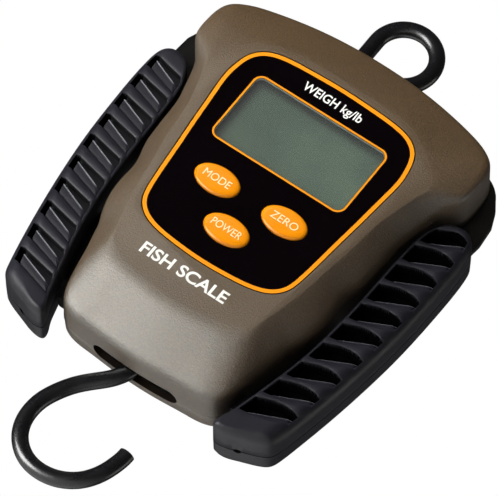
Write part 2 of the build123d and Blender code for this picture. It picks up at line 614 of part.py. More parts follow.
def battery_spring():
    coil = wire_along(Helix(pitch=1.05, height=3.6, radius=2.4), .3)
    return Pos(BATTERY_X, BATTERY_Y0 - .1, BATTERY_Z) * (Rotation(90, 0, 0) * coil)


# ----------------------------------------------------------------------- build
save("front_shell", front_shell(), OLIVE)
save("rear_shell", rear_shell(), OLIVE)
save("battery_door", battery_door(), OLIVE)
save("faceplate", faceplate(), BLACK)
save("display_window", display_window(), WINDOW_GREY)
save("display_glass", glass_box(0, GLASS_Z, 17.0), GLASS_GREY)
save("display_holder", display_holder(), OFF_WHITE)
save("contact_strips", contact_strips(), PINK)
save("main_board", main_board(), GREEN)
save("controller_chip", box(-7, 7, -8, 6, PCB_Z - 1.5, PCB_Z), CHIP_BLACK)
save("board_components", board_components(), TAN)
save("board_screws", screws(PCB_SCREWS, z_head=PCB_Z, z_tip=16.0,
                            head_r=2.2, head_h=1.5, shank_r=.98), STEEL)
for name, (x, y) in BUTTONS.items():
    save(name + "_button", button_cap(x, y), ORANGE)
    save(name + "_plunger", rod(x, y, 13.2, FLANGE_Z, 1.75), BLACK)
save("key_switches", [key_switch(x, y) for x, y in BUTTONS.values()], SWITCH_BLACK)

save("chassis_bar", chassis_bar(), STEEL)
save("hanging_eye", hanging_eye(), DARK)
save("eye_clamp", eye_clamp(), STEEL)
save("clamp_screws", screws(CLAMP_SCREWS, z_head=CLAMP_BACK, z_tip=CHASSIS_TOP + .6,
                            head_r=2.3, head_h=1.4, shank_r=1.3), STEEL)
save("load_cell", load_cell(), ALU)
save("strain_gauges", strain_gauges(), FOIL)
save("cell_screws", screws(CELL_SCREWS, z_head=-LOAD_CELL_Z, z_tip=CHASSIS_TOP + .8,
                           head_r=2.7, head_h=1.6, shank_r=1.58), STEEL)
save("hook_plates", hook_plates(), STEEL)
save("plate_screws", screws(PLATE_SCREWS, z_head=PLATE_BACK, z_tip=LOAD_CELL_Z + 2.4,
                            head_r=2.7, head_h=1.4, shank_r=1.58), STEEL)
save("hook_pin", hook_pin(), ALU)
save("pin_clip", pin_clip(), STEEL)
save("hook", hook(), DARK)
save("cell_wires", cell_wires(), RED)

for side, hand in zip(SIDES, ("right", "left")):
    save(hand + "_arm", arm(side), STEEL)
    save(hand + "_grip_front", grip_front(side), BLACK)
    save(hand + "_grip_rear", grip_rear(side), BLACK)
    save(hand + "_grip_screws", screws(on_side(GRIP_SCREWS, side), z_head=GRIP_SEAT_Z, z_tip=4.0,
                                       head_r=2.4, head_h=1.5, shank_r=1.1), STEEL)
    save(hand + "_pivot_pin", rod(side * PIVOT_X, PIVOT_Y, -7.0, 8.1, PIVOT_R), ALU)
    save(hand + "_pivot_spacer", pivot_spacer(side), BRASS)
# rubber pads on which the folded handles rest
save("rest_pads", [prism(on_side(REST_PAD, side), -2.9, 2.9) for side in SIDES], BLACK)

save("batteries", batteries(), BATTERY_GOLD)
save("battery_contacts", battery_contacts(), ALU)
save("battery_spring", battery_spring(), ALU)
save("case_screws", screws(CASE_SCREWS, z_head=CASE_SEAT_Z, z_tip=7.4,
                           head_r=2.7, head_h=1.9, shank_r=1.33), STEEL)
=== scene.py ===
"""A hand-held hanging fish scale: two-part olive case with a black panel, display and three
buttons, a wire eye above, a hook below and a ribbed black grip on either side.

Shapes are drawn in millimetres: x to the right seen from the front, y up, z towards the front.
In the world the front faces -Y, and y = HANG_Y lies at z = 0. The camera, lamps and floor are
placed in world metres.
"""
import json
import math
from contextlib import contextmanager

import bpy
import bmesh
import numpy as np
from mathutils import Matrix, Vector

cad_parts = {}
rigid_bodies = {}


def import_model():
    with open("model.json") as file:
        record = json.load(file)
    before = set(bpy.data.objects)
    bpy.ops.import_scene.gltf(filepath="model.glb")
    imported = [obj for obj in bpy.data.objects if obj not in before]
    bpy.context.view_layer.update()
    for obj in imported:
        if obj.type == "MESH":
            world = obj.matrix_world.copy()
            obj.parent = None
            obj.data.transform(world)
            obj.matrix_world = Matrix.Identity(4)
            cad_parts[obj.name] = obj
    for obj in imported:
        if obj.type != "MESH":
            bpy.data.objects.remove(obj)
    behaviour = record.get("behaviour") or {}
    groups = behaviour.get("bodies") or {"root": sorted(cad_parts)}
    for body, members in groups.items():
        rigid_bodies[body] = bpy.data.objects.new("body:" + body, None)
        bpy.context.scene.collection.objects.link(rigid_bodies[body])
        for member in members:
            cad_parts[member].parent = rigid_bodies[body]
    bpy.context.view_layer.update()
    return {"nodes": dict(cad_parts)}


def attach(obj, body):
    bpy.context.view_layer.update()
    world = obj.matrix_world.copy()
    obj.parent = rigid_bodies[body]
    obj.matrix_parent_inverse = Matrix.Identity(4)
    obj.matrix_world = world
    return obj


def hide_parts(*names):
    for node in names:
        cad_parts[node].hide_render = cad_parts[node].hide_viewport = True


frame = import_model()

NODES = frame["nodes"]
scene = bpy.context.scene
objects = scene.collection.objects

# ------------------------------------------------------------------ dimensions
HANG_Y = 59.0
FACE_Z = 20.0
SHOULDER_Z = 8.5    # nominal height where the front case starts to lean inwards

# Half outlines (x, y) from the top centre down the right side to the bottom centre.
# RIM is the case at its joint and TOP at its front face; their rows pair up.
RIM = [(0, 41.3), (10, 41.0), (20, 40.0), (29, 38.4), (36, 36.6), (41, 34.6), (44.8, 32.1),
       (47.2, 29.4), (48.5, 25.8), (48.9, 21.2), (48.8, 17.0), (48.1, 13.9), (46.6, 11.6),
       (44.9, 9.4), (43.5, 6.4), (42.5, 2.6), (41.5, -1.6), (40.7, -5.4), (40.4, -9.4),
       (40.3, -14), (40.1, -18.4), (39.8, -22), (38.8, -26), (37.9, -30.2), (38.1, -35),
       (38.1, -40.6), (37.4, -44.8), (36.0, -49), (34.6, -52.4), (33.7, -56), (32.6, -60.5),
       (31.5, -66.5), (30.5, -71.5), (29.2, -75.6), (27.1, -78.6), (23.6, -80.2), (17, -80.9),
       (9, -81.5), (0, -81.8)]
TOP = [(0, 24.6), (8, 24.6), (16, 24.3), (22.5, 23.3), (27.6, 21.2), (31.0, 18.9), (33.6, 16.9),
       (35.6, 15.2), (37.2, 13.8), (38.5, 12.4), (39.2, 11.0), (39.2, 9.2), (38.7, 7.2),
       (37.9, 4.8), (37.0, 1.9), (36.0, -1.4), (35.0, -4.9), (34.2, -8.2), (33.7, -11.8),
       (33.3, -15.6), (32.8, -19.6), (32.3, -23.2), (31.6, -27.2), (31.0, -31.2), (30.4, -35.4),
       (29.6, -40), (28.8, -43.8), (27.9, -47.4), (27.2, -50.0), (26.6, -52.2), (26.2, -53.8),
       (25.8, -55.1), (25.2, -56.4), (24.2, -57.7), (22.5, -59.1), (19.6, -60.6), (14.8, -61.9),
       (8, -62.9), (0, -63.5)]
# true shoulder height at each RIM row
LIFT = [8.5, 8.5, 8.6, 8.8, 9.4, 10.6, 12.0, 13.2, 14.0, 14.6, 15.0, 14.8, 13.4, 11.6, 10.4, 9.8,
        9.6, 9.5, 9.5, 9.5, 9.5, 9.5, 9.4, 9.3, 9.3, 9.3, 9.2, 9.1, 9.0, 9.0, 8.9, 8.8, 8.7, 8.6,
        8.5, 8.5, 8.5, 8.5, 8.5]
# at each RIM row, how far the profile goes from SIDE_PROFILE (0) to FOOT_PROFILE (1)
SLOPE = [0] * 31 + [0, .25, .7, .95, 1, 1, 1, 1]
PANEL = [(0, 22.3), (12, 21.9), (20.6, 21.1), (26.0, 19.3), (29.4, 16.0), (31.1, 10.9),
         (31.6, 6.6), (31.3, 1), (30.8, -4), (30.0, -12.4), (29.0, -21.4), (28.1, -30.5),
         (27.3, -36.8), (26.0, -41.8), (23.0, -45.3), (17.6, -47.6), (10, -48.7), (0, -49.2)]

# Case profiles: (z, share of the way from RIM to TOP)
SIDE_PROFILE = [(0.0, -0.02), (4.0, -0.008), (8.0, 0.0), (9.6, 0.016), (11.2, 0.055),
                (12.6, 0.125), (13.8, 0.225), (15.3, 0.38), (16.7, 0.54), (18.0, 0.70),
                (19.1, 0.85), (19.7, 0.94), (20.0, 1.0)]
FOOT_PROFILE = [(0.0, -0.01), (4.0, -0.004), (8.0, 0.0), (9.2, 0.006), (10.1, 0.02),
                (10.9, 0.046), (11.6, 0.085), (12.3, 0.14), (13.4, 0.245), (15.0, 0.40),
                (17.0, 0.60), (18.8, 0.785), (19.4, 0.86), (19.75, 0.93), (20.0, 1.0)]
REAR_PROFILE = [(-9.0, 0.17), (-8.75, 0.125), (-8.3, 0.085), (-7.6, 0.05), (-6.6, 0.022),
                (-5.5, 0.01), (-3.0, 0.004), (-0.45, 0.0), (0.0, 0.018)]
FRONT_HOLLOW = [(-1.0, -0.02), (8.0, 0.0), (10.0, 0.10), (13.0, 0.45), (15.4, 0.86), (17.3, 1.0)]
REAR_HOLLOW = [(-7.0, 0.08), (-6.4, 0.04), (-4.5, 0.01), (1.0, 0.0)]
CASE_POINTS = 420
WALL = 2.0
RIM_TUCK = 0.45     # the front case steps in by this at the joint

WINDOW_W, WINDOW_H, WINDOW_R, WINDOW_Y = 46.0, 24.0, 2.4, -0.4
# name: (x, y, word, width of the word)
BUTTONS = {"unit": (-12.0, -24.4, "MODE", 9.2), "tare": (12.0, -24.4, "ZERO", 9.2),
           "power": (0.0, -36.3, "POWER", 10.2)}
BUTTON_A, BUTTON_B = 7.55, 4.65     # half axes of the oval
BUTTON_GAP = 0.3
# button edge: (inset, z)
BUTTON_PROFILE = [(0.0, 18.0), (0.0, 19.9), (0.07, 20.1), (0.22, 20.3), (0.45, 20.48),
                  (0.75, 20.62), (1.1, 20.72), (1.55, 20.78), (2.1, 20.805), (2.8, 20.815),
                  (4.2, 20.82), (4.6, 20.82)]
PRINT_Z = (19.90, 19.985)
PIVOT_X, PIVOT_Y = 41.0, 21.5
SCREW_HOLES = [(24, 32.4), (31.6, -22), (20.5, -69)]    # each has a twin at -x
EYE_X, EYE_Y, EYE_R, WIRE_R = 1.0, 51.7, 9.9, 2.5
EYE_LEG_Y = 12.5

# Right grip outline (x, y), anticlockwise or clockwise as listed; the left one is its mirror image
GRIP = [(52.4, 9.5), (55.0, 8.6), (56.8, 6.6), (57.7, 3.0), (58.0, -4), (57.8, -14), (57.0, -29),
        (55.4, -43), (53.0, -58), (50.6, -70), (49.0, -76.6), (47.6, -79.8), (44.8, -81.7),
        (38.2, -84.1), (32.8, -85.4), (30.7, -84.8), (30.7, -82.4), (32.0, -79.4), (33.4, -75),
        (35.3, -68), (37.3, -60), (38.8, -53), (40.0, -45), (40.8, -37), (41.4, -29), (41.7, -20),
        (41.9, -14), (42.3, -7), (43.0, 0), (44.0, 3.2), (45.4, 5.9), (47.2, 7.9), (49.6, 9.1)]
# edge rounding (width, drop) at each GRIP row: crisp on the case side, broad on the outside
GRIP_EDGE = [(2.4, 2.0), (3.2, 2.8), (4.2, 4.0), (4.6, 5.0), (4.6, 5.2), (4.6, 5.2), (4.6, 5.2),
             (4.6, 5.2), (4.6, 5.2), (4.6, 5.2), (4.6, 5.0), (4.4, 4.6), (4.0, 4.2), (3.6, 3.8),
             (3.2, 3.2), (2.4, 2.4), (1.8, 1.8), (1.4, 1.4), (1.2, 1.3), (1.2, 1.2), (1.1, 1.1),
             (1.1, 1.1), (1.1, 1.1), (1.1, 1.1), (1.1, 1.1), (1.1, 1.1), (1.1, 1.1), (1.1, 1.1),
             (1.2, 1.2), (1.3, 1.3), (1.5, 1.4), (1.8, 1.6), (2.0, 1.8)]
GRIP_MIDDLE = [(51.4, 4.6), (50.9, 0), (50.2, -14), (49.3, -29), (47.8, -43), (45.6, -58),
               (43.0, -70), (40.6, -76.8)]
# limits of the ribbed area on the case side and the outside: (y, x)
RIB_INNER = [(-79.4, 32.0), (-75, 33.4), (-68, 35.3), (-60, 37.3), (-53, 38.8), (-45, 40.0),
             (-37, 40.8), (-29, 41.4), (-20, 41.7), (-14, 41.9), (-7, 42.3), (0, 43.0),
             (3.4, 44.0), (6.3, 45.6)]
RIB_OUTER = [(-76.6, 49.0), (-70, 50.6), (-58, 53.0), (-43, 55.4), (-29, 57.0), (-14, 57.8),
             (-4, 58.0), (3.4, 57.8), (7.3, 57.0)]
POCKETS = [4.6, -3.5, -11.8, -20.1, -28.4, -36.8, -45.3, -53.9, -62.4, -70.8]   # y of each
GRIP_POINTS = 1700
GRIP_Z = 10.5


# ------------------------------------------------------------------ curves
def mirrored(half):
    """Close a half outline with its mirror image."""
    return list(half) + [(-x, y) for x, y in reversed(half[1:-1])]


def chords(steps):
    return np.concatenate([[0], np.cumsum(np.hypot(*steps.T))])


def spline_points(p, bend, knots, count, endpoint):
    """Evenly spaced points of the cubic through p with second derivatives bend."""
    t = np.linspace(0, knots[-1], count, endpoint=endpoint)
    i = np.clip(np.searchsorted(knots, t, side="right") - 1, 0, len(knots) - 2)
    j = (i + 1) % len(p)
    u, h = (t - knots[i])[:, None], np.diff(knots)[i][:, None]
    v = h - u
    return ((bend[i] * v ** 3 + bend[j] * u ** 3) / (6 * h) + (p[i] / h - bend[i] * h / 6) * v
            + (p[j] / h - bend[j] * h / 6) * u)


def closed_spline(points, count, knots=None):
    """Closed cubic through points, and its knots; knots given fix the parameter of each point."""
    p = np.array(points, float)
    size = len(p)
    if knots is None:
        knots = chords(np.roll(p, -1, 0) - p)
    h = np.diff(knots)
    matrix = np.zeros((size, size))
    rhs = np.zeros((size, 2))
    for i in range(size):
        a, b, after = h[i - 1], h[i], (i + 1) % size
        matrix[i, i - 1] += a
        matrix[i, i] += 2 * (a + b)
        matrix[i, after] += b
        rhs[i] = 6 * ((p[after] - p[i]) / b - (p[i] - p[i - 1]) / a)
    return spline_points(p, np.linalg.solve(matrix, rhs), knots, count, False), knots


def open_spline(points, count):
    """Cubic through points with straight ends."""
    p = np.array(points, float)
    size = len(p)
    knots = chords(p[1:] - p[:-1])
    h = np.diff(knots)
    matrix = np.eye(size)
    rhs = np.zeros((size, 2))
    for i in range(1, size - 1):
        matrix[i, i - 1:i + 2] = h[i - 1], 2 * (h[i - 1] + h[i]), h[i]
        rhs[i] = 6 * ((p[i + 1] - p[i]) / h[i] - (p[i] - p[i - 1]) / h[i - 1])
    return spline_points(p, np.linalg.solve(matrix, rhs), knots, count, True)


def monotone(table, at):
    """Smooth curve without overshoot through the rows (z, share)."""
    z, share = np.array(table, float).T
    slope = np.diff(share) / np.diff(z)
    m = np.zeros(len(z))
    for i in range(1, len(z) - 1):
        a, b = slope[i - 1], slope[i]
        m[i] = 0 if a * b <= 0 else 2 * a * b / (a + b)
    m[0], m[-1] = slope[0], slope[-1]
    i = np.clip(np.searchsorted(z, at, side="right") - 1, 0, len(z) - 2)
    h = z[i + 1] - z[i]
    t = (at - z[i]) / h
    return ((2 * t ** 3 - 3 * t ** 2 + 1) * share[i] + (t ** 3 - 2 * t ** 2 + t) * h * m[i]
            + (-2 * t ** 3 + 3 * t ** 2) * share[i + 1] + (t ** 3 - t ** 2) * h * m[i + 1])


def lookup(table, at):
    return np.interp(at, *zip(*table))


def smoothstep(start, end, x):
    t = np.clip((x - start) / (end - start), 0, 1)
    return t * t * (3 - 2 * t)


def inward(p):
    """Inward unit normals of a closed outline."""
    t = np.roll(p, -1, 0) - np.roll(p, 1, 0)
    t /= np.linalg.norm(t, axis=1)[:, None]
    area = np.sum(p[:, 0] * np.roll(p[:, 1], -1) - np.roll(p[:, 0], -1) * p[:, 1])
    return np.stack([-t[:, 1], t[:, 0]], 1) * (1 if area > 0 else -1)


def rounded_rect(w, h, r, x=0, y=0, corner_points=14):
    points = []
    for side_x, side_y, start in ((1, 1, 0), (-1, 1, 90), (-1, -1, 180), (1, -1, 270)):
        for a in np.radians(np.linspace(start, start + 90, corner_points)):
            points.append((x + side_x * (w / 2 - r) + r * math.cos(a),
                           y + side_y * (h / 2 - r) + r * math.sin(a)))
    return np.array(points)


def ellipse(x, y, a, b, count=96):
    t = np.linspace(0, 2 * math.pi, count, endpoint=False)
    return np.stack([x + a * np.cos(t), y + b * np.sin(t)], 1)


# ------------------------------------------------------------------ mesh helpers
def to_world(v):
    v = np.asarray(v, float)
    return np.stack([v[:, 0], -v[:, 2], v[:, 1] - HANG_Y], 1) / 1000.0


def at_z(outline, z):
    return np.column_stack([outline, np.full(len(outline), z)])


@contextmanager
def edited(mesh):
    bm = bmesh.new()
    bm.from_mesh(mesh)
    yield bm
    bm.to_mesh(mesh)
    bm.free()


def make(name, verts, faces):
    mesh = bpy.data.meshes.new(name)
    mesh.from_pydata(to_world(verts).tolist(), [], faces)
    mesh.validate()
    mesh.update()
    with edited(mesh) as bm:
        bmesh.ops.recalc_face_normals(bm, faces=bm.faces)
    mesh.shade_smooth()
    ob = bpy.data.objects.new(name, mesh)
    objects.link(ob)
    return ob


def loop_faces(n, pairs):
    """Quads between the numbered loops of each pair, n points to a loop."""
    i = np.arange(n)
    j = (i + 1) % n
    faces = []
    for a, b in pairs:
        faces.extend(np.stack([a * n + i, a * n + j, b * n + j, b * n + i], 1).tolist())
    return faces


def rings(name, loops, cap_high=True):
    """Solid through a stack of closed loops with equal point counts; each loop is n x 3."""
    n, last = len(loops[0]), len(loops) - 1
    faces = loop_faces(n, [(k, k + 1) for k in range(last)])
    faces.append(list(range(n)))
    if cap_high:
        faces.append([last * n + k for k in range(n)])
    return make(name, np.concatenate(loops), faces)


def prism(name, outline, z0, z1):
    return rings(name, [at_z(np.asarray(outline, float), z) for z in (z0, z1)])


def box(name, x0, x1, y0, y1, z0, z1):
    x0, x1 = sorted((x0, x1))
    return prism(name, [(x0, y0), (x1, y0), (x1, y1), (x0, y1)], z0, z1)


def rod_along_y(name, x, z, y0, y1):
    """Straight rod whose section is given by the arrays x and z."""
    return rings(name, [np.column_stack([x, np.full(len(x), y), z]) for y in (y0, y1)])


def sharp(ob, angle):
    """Smooth shading with crisp edges above the angle in degrees."""
    ob.data.shade_smooth()
    limit = math.radians(angle)
    with edited(ob.data) as bm:
        for e in bm.edges:
            e.smooth = not (len(e.link_faces) == 2 and e.calc_face_angle(0) > limit)
    return ob


def cut(ob, cutters):
    """Subtract the cutters, bake the result and delete them."""
    for cutter in cutters:
        mod = ob.modifiers.new("cut", "BOOLEAN")
        mod.operation = "DIFFERENCE"
        mod.solver = "EXACT"
        mod.object = cutter
    bpy.context.view_layer.update()
    graph = bpy.context.evaluated_depsgraph_get()
    mesh = bpy.data.meshes.new_from_object(ob.evaluated_get(graph))
    ob.modifiers.clear()
    old = ob.data
    ob.data = mesh
    mesh.name = ob.name
    bpy.data.meshes.remove(old)
    for cutter in cutters:
        mesh = cutter.data
        bpy.data.objects.remove(cutter)
        bpy.data.meshes.remove(mesh)


def bevel(ob, width):
    mod = ob.modifiers.new("edge", "BEVEL")
    mod.width = width / 1000.0
    mod.segments = 2
    mod.limit_method = "ANGLE"
    mod.angle_limit = math.radians(45)
    mod.use_clamp_overlap = True
    mod.harden_normals = False


def tube(name, path, r, sides=36, chamfer=0.3):
    """Round wire along a plane path (n x 2, z = 0), both ends flat with a small chamfer."""
    p = np.asarray(path, float)
    t = np.gradient(p, axis=0)
    t /= np.linalg.norm(t, axis=1)[:, None]
    normal = np.stack([-t[:, 1], t[:, 0]], 1)
    a = np.linspace(0, 2 * math.pi, sides, endpoint=False)

    def loop(k, radius, shift=0.0):
        centre = p[k] + t[k] * shift
        xy = centre[None, :] + np.outer(np.cos(a) * radius, normal[k])
        return np.column_stack([xy, np.sin(a) * radius])

    end = len(p) - 1
    loops = [loop(0, r - chamfer), loop(0, r, chamfer)]
    loops += [loop(k, r) for k in range(1, end)]
    loops += [loop(end, r, -chamfer), loop(end, r - chamfer)]
    return sharp(rings(name, loops), 38)


def band(name, outer, inner):
    """Flat printed ribbon between two outlines with equal counts."""
    low, high = PRINT_Z
    loops = [at_z(outer, low), at_z(outer, high), at_z(inner, high), at_z(inner, low)]
    faces = loop_faces(len(outer), ((0, 1), (1, 2), (2, 3), (3, 0)))
    return sharp(make(name, np.concatenate(loops), faces), 40)


# ------------------------------------------------------------------ shader helpers
def rgb(*channels):
    """Linear colour from 8-bit sRGB channels."""
    return tuple(c / 255 / 12.92 if c / 255 <= 0.04045 else ((c / 255 + 0.055) / 1.055) ** 2.4
                 for c in channels) + (1,)


def grey(value):
    return (value, value, value, 1)


def new_material(name):
    mat = bpy.data.materials.new(name)
    mat.use_nodes = True
    tree = mat.node_tree
    tree.nodes.clear()
    out = tree.nodes.new("ShaderNodeOutputMaterial")
    bsdf = tree.nodes.new("ShaderNodeBsdfPrincipled")
    tree.links.new(bsdf.outputs[0], out.inputs[0])
    coord = tree.nodes.new("ShaderNodeTexCoord")
    return mat, tree, bsdf, coord, out


def noise(tree, coord, scale, detail, rough, stretch=(1, 1, 1)):
    mapping = tree.nodes.new("ShaderNodeMapping")
    mapping.inputs["Scale"].default_value = stretch
    tree.links.new(coord.outputs["Object"], mapping.inputs["Vector"])
    node = tree.nodes.new("ShaderNodeTexNoise")
    node.inputs["Scale"].default_value = scale
    node.inputs["Detail"].default_value = detail
    node.inputs["Roughness"].default_value = rough
    tree.links.new(mapping.outputs[0], node.inputs["Vector"])
    return node.outputs["Fac"]


def ramp(tree, source, stops):
    """Colour ramp over stops (position, colour)."""
    node = tree.nodes.new("ShaderNodeValToRGB")
    elements = node.color_ramp.elements
    elements[0].position, elements[0].color = stops[0]
    elements[1].position, elements[1].color = stops[-1]
    for position, colour in stops[1:-1]:
        elements.new(position).color = colour
    tree.links.new(source, node.inputs[0])
    return node.outputs[0]


def multiply(tree, a, b):
    mix = tree.nodes.new("ShaderNodeMix")
    mix.data_type, mix.blend_type = "RGBA", "MULTIPLY"
    mix.inputs[0].default_value = 1.0
    tree.links.new(a, mix.inputs[6])
    tree.links.new(b, mix.inputs[7])
    return mix.outputs[2]


def bumped(tree, height, strength, distance, normal=None):
    node = tree.nodes.new("ShaderNodeBump")
    node.inputs["Strength"].default_value = strength
    node.inputs["Distance"].default_value = distance
    tree.links.new(height, node.inputs["Height"])
    if normal:
        tree.links.new(normal, node.inputs["Normal"])
    return node.outputs[0]


def surface(name, colour, rough=0.4, metal=0.0, tone=0.12, rough_var=0.08, blotch=60, grain=2500,
            speck=None, bump=0.2, depth=0.00003, bump2=None, spec=0.5, tint=None, edge_highlight=0.0,
            edge_highlight_colour=None, coat=0.0, coat_rough=0.4, stretch=(1, 1, 1), corner_shade=0.0,
            reach=0.006):
    """Procedural finish with blotchy tone, fine grain, roughness change and a fine bump, and
    optionally a painted highlight on sharp edges and painted shade in corners.

    tone, speck, rough_var: contrast of blotches, grain (as tone if None) and roughness
    blotch, grain: noise scales; stretch: noise scale along each axis
    bump, depth: strength and distance of the grain bump; bump2: (scale, strength, distance)
    edge_highlight: share of edge_highlight_colour on edges, a painted highlight; corner_shade,
    reach: painted shade in corners and its distance
    """
    mat, tree, bsdf, coord, _ = new_material(name)
    big = noise(tree, coord, blotch, 5, 0.6, stretch)
    fine = noise(tree, coord, grain, 3, 0.7, stretch)
    base = np.array(colour[:3])
    if speck is None:
        speck = tone
    blotches = ramp(tree, big, [(0.3, tuple(base * (1 - tone)) + (1,)),
                                (0.7, tuple(np.clip(base * (1 + tone), 0, 1)) + (1,))])
    specks = ramp(tree, fine, [(0.35, grey(1 - speck)), (0.65, grey(1 + speck * .8))])
    last = multiply(tree, blotches, specks)
    # painted highlight: a lighter colour on sharp edges, found by pointiness
    if edge_highlight > 0:
        geometry = tree.nodes.new("ShaderNodeNewGeometry")
        edge_highlight_mask = ramp(tree, geometry.outputs["Pointiness"], [(0.50, grey(0)), (0.56, grey(edge_highlight))])
        mix = tree.nodes.new("ShaderNodeMix")
        mix.data_type = "RGBA"
        tree.links.new(edge_highlight_mask, mix.inputs[0])
        tree.links.new(last, mix.inputs[6])
        mix.inputs[7].default_value = edge_highlight_colour
        last = mix.outputs[2]
    # painted shade: ambient occlusion darkens the colour and weakens the reflection in corners
    if corner_shade > 0:
        occlusion = tree.nodes.new("ShaderNodeAmbientOcclusion")
        occlusion.samples = 8
        occlusion.inputs["Distance"].default_value = reach
        shade = ramp(tree, occlusion.outputs["AO"], [(0.25, grey(1 - corner_shade)), (0.8, grey(1))])
        last = multiply(tree, last, shade)
        shaded_spec = tree.nodes.new("ShaderNodeMath")
        shaded_spec.operation = "MULTIPLY"
        shaded_spec.inputs[1].default_value = spec
        tree.links.new(shade, shaded_spec.inputs[0])
        tree.links.new(shaded_spec.outputs[0], bsdf.inputs["Specular IOR Level"])
    else:
        bsdf.inputs["Specular IOR Level"].default_value = spec
    tree.links.new(last, bsdf.inputs["Base Color"])
    roughness = ramp(tree, big, [(0.3, grey(rough - rough_var)), (0.7, grey(rough + rough_var))])
    tree.links.new(roughness, bsdf.inputs["Roughness"])
    bsdf.inputs["Metallic"].default_value = metal
    if tint:
        bsdf.inputs["Specular Tint"].default_value = tint + (1,)
    bsdf.inputs["Coat Weight"].default_value = coat
    bsdf.inputs["Coat Roughness"].default_value = coat_rough
    normal = bumped(tree, fine, bump, depth)
    if bump2:
        scale, strength, distance = bump2
        extra = noise(tree, coord, scale, 2, 0.5)
        normal = bumped(tree, extra, strength, distance, normal)
    tree.links.new(normal, bsdf.inputs["Normal"])
    return mat


# ------------------------------------------------------------------ materials
# the olive case and the black grip plastic take painted shade in their corners
OLIVE = surface("olive_shell", rgb(86, 66, 41), rough=0.5, tone=0.05, rough_var=0.03, blotch=90,
                grain=1800, speck=0.34, bump=1.0, depth=0.00024, bump2=(3400, 0.7, 0.00014),
                spec=1.0, tint=(0.76, 0.94, 1.0), coat=0.9, coat_rough=0.46, corner_shade=0.85,
                reach=0.008)
GRIP_BLACK = surface("black_grip", rgb(30, 30, 37), rough=0.45, tone=0.15, rough_var=0.06,
                     blotch=120, grain=2600, bump=0.1, spec=0.52, corner_shade=0.7, reach=0.004)
# darker copy of the grip plastic: painted shade in the left grip's slots
GRIP_SLOT_SHADE = surface("grip_slot", rgb(26, 26, 29), rough=0.6, rough_var=0.06, blotch=120,
                    grain=2600, bump=0.25, depth=0.00004, spec=0.25)
# lighter grey painted along the pocket lips as a highlight
GRIP_LIP_HIGHLIGHT = surface("grip_lip", rgb(112, 114, 122), rough_var=0.06, blotch=160, grain=1500,
                   bump=0.25, depth=0.00004)
# near-black copy of the grip plastic: painted shade in the deep pockets and notches
GRIP_POCKET_SHADE = surface("grip_pocket", rgb(4, 4, 6), rough=0.6, tone=0.15, rough_var=0.06,
                      blotch=120, grain=2600, bump=0.25, depth=0.00004, spec=0.06)
PANEL_BLACK = surface("panel_black", rgb(5, 2, 4), rough=0.14, tone=0.1, rough_var=0.03,
                      blotch=40, grain=900, bump=0.03, depth=0.00001, spec=0.22)
PRINT_ORANGE = surface("print_orange", rgb(238, 146, 8), rough=0.45, tone=0.03, rough_var=0.04,
                       blotch=200, grain=5000, bump=0.08, depth=0.00001, spec=0.15)
BUTTON_ORANGE = surface("button_orange", rgb(236, 142, 3), rough=0.3, tone=0.03, rough_var=0.05,
                        blotch=150, grain=3000, bump=0.08, depth=0.00001, spec=0.2, coat=0.6,
                        coat_rough=0.1)
PRINT_WHITE = surface("print_white", rgb(236, 236, 232), rough=0.5, tone=0.04, rough_var=0.04,
                      blotch=300, grain=6000, bump=0.05, depth=0.00001)
PRINT_CREAM = surface("print_cream", rgb(255, 226, 180), rough=0.5, tone=0.03, rough_var=0.04,
                      blotch=300, grain=6000, bump=0.05, depth=0.00001)
WIRE = surface("wire_black", rgb(12, 12, 15), rough=0.28, rough_var=0.06, blotch=160, grain=3200,
               bump=0.16, spec=0.75, coat=0.2)
# the arm's sharp edges are painted lighter as a highlight
STEEL = surface("arm_steel", rgb(30, 22, 16), rough=0.34, metal=1.0, tone=0.14, blotch=80,
                grain=1800, bump=0.25, stretch=(14, 1, 1), edge_highlight=0.35,
                edge_highlight_colour=rgb(150, 150, 150))
ZINC = surface("zinc_steel", rgb(170, 170, 172), rough=0.36, metal=1.0, blotch=120, grain=2600,
               depth=0.00002)
ALUMINIUM = surface("machined_alu", rgb(200, 201, 204), rough=0.34, metal=1.0, tone=0.06,
                    rough_var=0.06, blotch=90, grain=2600, bump=0.25, depth=0.00002,
                    stretch=(1, 1, 18))
BRASS = surface("brass", rgb(196, 160, 84), rough=0.32, metal=1.0, tone=0.08, rough_var=0.06,
                blotch=90, grain=2600)
RUBBER = surface("pad_rubber", rgb(20, 20, 21), rough=0.7, tone=0.15, blotch=140, grain=3000,
                 bump=0.4, depth=0.00006, spec=0.3)
BOARD = surface("board_green", rgb(20, 92, 50), rough=0.35, tone=0.15, rough_var=0.06,
                blotch=200, grain=1500, bump=0.1)
CHIP = surface("chip_black", rgb(20, 20, 21), rough=0.5, tone=0.1, rough_var=0.06, blotch=200,
               grain=4000)
HOLDER = surface("holder_white", rgb(215, 214, 205), rough=0.5, tone=0.04, rough_var=0.06,
                 blotch=120, grain=3000, bump=0.15)
CONTACT = surface("contact_rubber", rgb(190, 120, 130), rough=0.6, tone=0.1, rough_var=0.06,
                  blotch=200, grain=1500, stretch=(20, 1, 1))
FOIL = surface("gauge_foil", rgb(205, 160, 80), tone=0.1, rough_var=0.06, blotch=200)
LEAD = surface("lead_insulation", rgb(176, 30, 26), rough=0.45, tone=0.1, rough_var=0.06,
               blotch=200)
CELL = surface("cell_sleeve", rgb(176, 120, 40), rough=0.3, metal=0.6, tone=0.08, rough_var=0.05)


